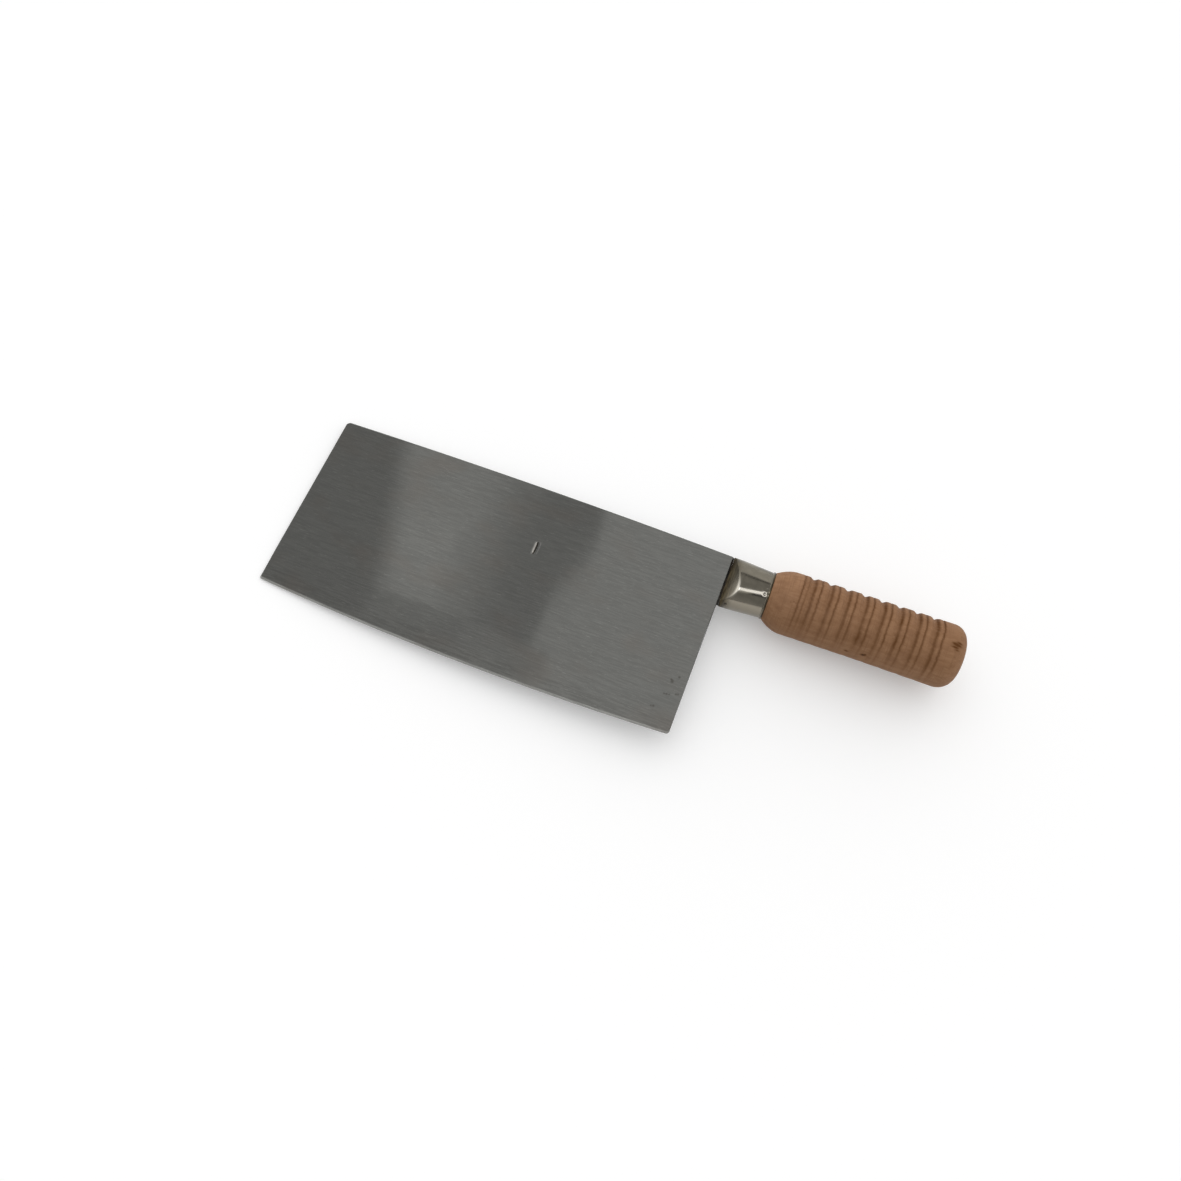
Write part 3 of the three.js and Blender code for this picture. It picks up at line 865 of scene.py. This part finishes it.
def mild_steel(name):
    """Drawn bar and plain sheet: grey, a little brown in clouds, with fine marks."""
    made, tree, shader = finish(name)
    mark = streaks(tree, 1.2 * mm, 0.5 * mm, 4)
    cloud = streaks(tree, 4 * mm, 3 * mm, 3)
    plain = mixed(tree, ranged(tree, mark, 0.3, 0.7, 0, 1), (0.17, 0.165, 0.155, 1), (0.27, 0.265, 0.25, 1))
    tree.links.new(
        mixed(tree, ranged(tree, cloud, 0.5, 0.75, 0, 0.6), plain, (0.12, 0.085, 0.06, 1)),
        shader.inputs["Base Color"])
    tree.links.new(ranged(tree, mark, 0.3, 0.7, 0.35, 0.55), shader.inputs["Roughness"])
    tree.links.new(bumped(tree, mark, 0.03 * mm, 0.4), shader.inputs["Normal"])
    shader.inputs["Metallic"].default_value = 1
    return made


drawn_steel = mild_steel("drawn_steel")
rod = skin("tang_bar", rod_rings(), False, lie @ hilt, math.radians(40))
rod.data.materials.append(drawn_steel)
slot_corners = 24
slot_sides = 64
slot_start = fork_nose - 1 * mm
slot_rings = [oval(x, 3 * rod_radius, slot_half, slot_corners, slot_sides) for x in (slot_start, fork_root)]
carve(rod, skin("fork_slot", slot_rings, False, lie @ hilt, math.radians(30)), "DIFFERENCE")
hammer(rod)
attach(rod, "root")
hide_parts("tang_rod")
for bead in ("weld_bead_upper", "weld_bead_lower"):
    refinish(bead, drawn_steel)

# Handle: one piece of dry hardwood, turned with a tenon for the ferrule and bored for the rod.
# Coves and thin lines are cut into its back and burned, with painted shade in the coves, and fade
# out before the edge's side.
wood_front = 24.3 * mm
wood_face = 24.04 * mm
face_arris = 0.15 * mm
handle_length = 98.8 * mm
tenon_radius = 10.3 * mm
tenon_length = 8 * mm
rim_radius = 12.6 * mm
swell_radius = 16.2 * mm
butt_radius = 16.75 * mm
shoulder_length = 11 * mm
front_bulge = 0.8 * mm
butt_round_at_spine = 7.4 * mm
butt_round_at_edge = 8.6 * mm
butt_land = 1.9 * mm
recess_radius = 6.8 * mm
recess_depth = 4.2 * mm
bore_radius = 3.8 * mm
front_plain = 14.1 * mm
rib_pitch = 8.92 * mm
rib_count = 8
line_depth = 0.3 * mm
line_width = 0.8 * mm
cove_start = 2 * mm
cove_width = 5 * mm
cove_depth = 1.1 * mm
rib_fade = (95, 175)
scorch_fade = (118, 178)
scorch_after_line = 5.8 * mm
extra_line = 2.4 * mm
wood_sides = 240
wood_step = 0.22 * mm
wood_end = wood_front + handle_length


def from_spine(angle):
    """The angle from the spine's side, the same on both sides of the handle."""
    return math.degrees(abs(angle - 2 * math.pi if angle > math.pi else angle))


def chatter(along, angle):
    """How far the cutter wandered along the wood as it turned: slowly, and in small steps."""
    slow = 0.2 * mm
    slow_waves = 2.2
    quick = 0.3 * mm
    quick_waves = 14
    lean = 0.3 * mm
    rib = round((along - front_plain) / rib_pitch)
    round_wood = Vector((math.cos(angle), math.sin(angle), 0))
    own = Vector((0, 0, 5.3 * rib))
    leaned = lean * smooth(65, 100, from_spine(angle))
    slowly = slow * noise.noise(slow_waves * round_wood + own)
    quickly = quick * noise.noise(quick_waves * round_wood + own)
    return leaned + slowly + quickly


def after_line(along):
    """Distance past the thin line that opens this rib, and which rib it is."""
    rib = min(max(math.floor((along - front_plain) / rib_pitch), 0), rib_count - 1)
    return along - front_plain - rib * rib_pitch, rib


def near_line(along):
    """Distance to the nearest thin line. There is one more line than there are ribs."""
    rib = min(max(round((along - front_plain) / rib_pitch), 0), rib_count)
    return abs(along - front_plain - rib * rib_pitch)


def rib_depth(along, angle):
    """How deep the lines and coves are cut: fully on the back, and not at all on the edge's side."""
    fade = 1 - smooth(*rib_fade, from_spine(angle))
    line = line_depth * max(0, 1 - 2 * near_line(along) / line_width)
    past = after_line(along)[0]
    across = (past - cove_start) / cove_width
    cove = cove_depth * math.sin(math.pi * across) ** 2 if 0 < across < 1 else 0
    return (line + cove) * fade


def end_loss(drop, length, distance):
    """Radius lost where an end is rounded off, from the full drop at the end to none a length away."""
    if distance >= length:
        return 0
    return drop * (1 - math.sqrt(1 - (1 - distance / length) ** 2))


def wood_radius(along, angle):
    """The handle's radius: a barrel with a shoulder at the ferrule, a rounded butt and the ribs cut in."""
    barrel = lerp(swell_radius, butt_radius, along / handle_length)
    bulge = front_bulge * clamp(1 - along / (handle_length / 2)) * ((1 - math.cos(angle)) / 2) ** 3
    shoulder = (swell_radius + bulge - rim_radius) * clamp(1 - along / shoulder_length) ** 2
    butt_round = lerp(butt_round_at_spine, butt_round_at_edge, (1 - math.cos(angle)) / 2)
    butt = end_loss(butt_radius - recess_radius - butt_land, butt_round, handle_length - along)
    return barrel + bulge - shoulder - butt - rib_depth(along + chatter(along, angle), angle)


def burn(distance, reach):
    return math.exp(-(distance / reach) ** 2)


def scorch_and_shade(along, angle):
    """How dark the wood is: burned along each line and darker on the rear wall of each cove, with
    burning and painted shade inside each cove, and darker on the ribs towards the spine's side.
    """
    cove_dark_before_wall = 1.1 * mm
    rib_start = 2 * mm
    left_at_edge = 0.25
    along = along + chatter(along, angle)
    past, rib = after_line(along)
    thin = 0.75 * burn(near_line(along), 0.62 * mm)
    extra = 0.5 * burn(along - front_plain - extra_line, 0.55 * mm)
    wall = 0.78 * burn(past - scorch_after_line, 0.8 * mm)
    # Painted shade in each cove, along with burning.
    cove_scorch_and_shade = 0.14 * burn(past - scorch_after_line + cove_dark_before_wall, 0.9 * mm)
    uneven = 0.8 + 0.3 * noise.noise(Vector((3 * math.cos(angle), 3 * math.sin(angle), 1.7 * rib + 0.5)))
    rearwards = lerp(0.85, 1.15, along / handle_length)
    fade = lerp(1, left_at_edge, smooth(*scorch_fade, from_spine(angle)))
    ribbed = smooth(front_plain - rib_start, front_plain + rib_start, along)
    # Darker on the ribbed part towards the spine's side.
    ribs_darker_at_spine = 0.2 * ribbed * (1 - smooth(65, 105, from_spine(angle)))
    return ribs_darker_at_spine + (thin + extra + wall + cove_scorch_and_shade) * uneven * rearwards * fade


# Small flaws in the wood: place along it, angle round it, length, width and darkness.
wood_flaws = [
    (92.6, 90, 2.2, 0.6, 1.2),
    (93.4, 85, 1.6, 0.55, 1.0),
    (91.6, 95, 1.9, 0.5, 1.1),
    (92.9, 99, 1.3, 0.45, 0.8),
    (90.8, 88, 1.2, 0.45, 0.7),
    (92.4, 91, 3.6, 3.2, 0.22),
    (52.4, 164.5, 1.1, 0.6, 2.1),
    (53.4, 162, 0.6, 0.4, 1.5),
    (44.2, 169, 1.1, 0.6, 1.3),
    (10.4, 112, 0.35, 0.3, 0.7),
    (11.7, 110, 0.35, 0.3, 0.7),
    (12.8, 111, 0.35, 0.3, 0.5),
    (17.0, 138, 4.5, 2.6, 0.3),
    (47.5, 136, 5.0, 3.0, 0.28),
]


def flawed(along, angle):
    """How dark the flaws make a place on the wood."""
    out_of_reach = 3
    dark = 0
    for place, degrees, length, width, darkness in wood_flaws:
        off = (along / mm - place) / length
        round_by = math.radians(degrees) - angle
        aside = round_by * butt_radius / mm / width
        if abs(off) < out_of_reach and abs(aside) < out_of_reach:
            dark += darkness * math.exp(-off ** 2 - aside ** 2)
    return dark


def wood_places():
    """Places along the wood for its rings, closer together where the ends are rounded off."""
    end_steps = 24
    longest_round = max(butt_round_at_spine, butt_round_at_edge)
    body = handle_length - shoulder_length - longest_round
    body_steps = round(body / wood_step)
    eased = [1 - math.cos(math.pi / 2 * i / end_steps) for i in range(end_steps)]
    return (
        [shoulder_length * e for e in eased]
        + [shoulder_length + body * i / body_steps for i in range(body_steps)]
        + [handle_length - longest_round * e for e in reversed(eased)]
    )


def wood_ring(along):
    ring = []
    for j in range(wood_sides):
        angle = 2 * math.pi * j / wood_sides
        radius = wood_radius(along, angle)
        ring.append(Vector((wood_front + along, radius * math.cos(angle), radius * math.sin(angle))))
    return ring


def dry_wood(name):
    """Turned hardwood, sanded and left dry: soft lengthwise grain, turning marks, burned lines, and
    painted shade in the coves.
    """
    made, tree, shader = finish(name)
    grain = streaks(tree, 14 * mm, 2.2 * mm, 4)
    fibre = streaks(tree, 5 * mm, 0.22 * mm, 3)
    turning = streaks(tree, 0.6 * mm, 16 * mm, 3)
    cloud = streaks(tree, 8 * mm, 5 * mm, 4)
    burn_and_shade = node(tree, "ShaderNodeAttribute", attribute_name="scorch_and_shade").outputs["Fac"]
    pale = mixed(
        tree, ranged(tree, grain, 0.35, 0.68, 0, 1), (0.32, 0.172, 0.088, 1), (0.27, 0.139, 0.067, 1))
    fibred = mixed(tree, ranged(tree, fibre, 0.5, 0.7, 0, 0.5), pale, (0.18, 0.088, 0.041, 1))
    turned = mixed(tree, ranged(tree, turning, 0.48, 0.7, 0, 0.5), fibred, (0.2, 0.099, 0.047, 1))
    warmed = mixed(tree, ranged(tree, cloud, 0.45, 0.75, 0, 0.6), turned, (0.22, 0.108, 0.052, 1))
    # Darkening from the handle's points: burns, flaws, and painted shade in the coves.
    scorched_and_shaded = mixed(tree, burn_and_shade, warmed, (0.1, 0.033, 0.002, 1))
    knotted = mixed(tree, ranged(tree, burn_and_shade, 1.3, 1.9, 0, 1), scorched_and_shaded, (0.016, 0.009, 0.005, 1))
    tree.links.new(knotted, shader.inputs["Base Color"])
    tree.links.new(ranged(tree, fibre, 0.3, 0.7, 0.6, 0.75), shader.inputs["Roughness"])
    grained = bumped(tree, grain, 0.05 * mm, 0.2)
    marked = bumped(tree, turning, 0.04 * mm, 0.3, grained)
    tree.links.new(bumped(tree, fibre, 0.04 * mm, 0.3, marked), shader.inputs["Normal"])
    shader.inputs["Specular IOR Level"].default_value = 0.2
    return made


places = wood_places()
front_rings = [
    round_ring(wood_front - tenon_length, bore_radius, wood_sides),
    round_ring(wood_front - tenon_length, tenon_radius, wood_sides),
    round_ring(wood_face, tenon_radius, wood_sides),
    round_ring(wood_face, rim_radius - face_arris, wood_sides),
]
rear_rings = [
    round_ring(wood_end, recess_radius, wood_sides),
    round_ring(wood_end - recess_depth, recess_radius, wood_sides),
    round_ring(wood_end - recess_depth, bore_radius, wood_sides),
]
handle = skin(
    "turned_handle", front_rings + [wood_ring(along) for along in places] + rear_rings, True, lie @ hilt,
    math.radians(50))
shade = [0] * (len(front_rings) * wood_sides)
for along in places:
    for j in range(wood_sides):
        angle = 2 * math.pi * j / wood_sides
        shade.append(scorch_and_shade(along, angle) + flawed(along, angle))
shade += [0] * (len(rear_rings) * wood_sides)
handle.data.attributes.new("scorch_and_shade", "FLOAT", "POINT").data.foreach_set("value", shade)
handle.data.materials.append(dry_wood("dry_wood"))
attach(handle, "root")
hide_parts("handle")

# Butt washer: a flat steel ring, punched from sheet, on the floor of the recess in the butt.
# The rod's end is peened over it, so that it holds the wood against the ferrule.
washer_radius = 6.5 * mm
washer_thickness = 1.6 * mm
washer_edge = 0.25 * mm
washer_seat = 0.3 * mm
washer_back = wood_end - recess_depth + washer_seat
washer_front = washer_back + washer_thickness
washer_rings = [
    round_ring(washer_back, bore_radius, rod_sides),
    round_ring(washer_back, washer_radius - washer_edge, rod_sides),
    round_ring(washer_back + washer_edge, washer_radius, rod_sides),
    round_ring(washer_front - washer_edge, washer_radius, rod_sides),
    round_ring(washer_front, washer_radius - washer_edge, rod_sides),
    round_ring(washer_front, bore_radius, rod_sides),
]
washer = skin("rear_washer", washer_rings, True, lie @ hilt, math.radians(30))
washer.data.materials.append(drawn_steel)
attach(washer, "root")
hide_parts("butt_washer")
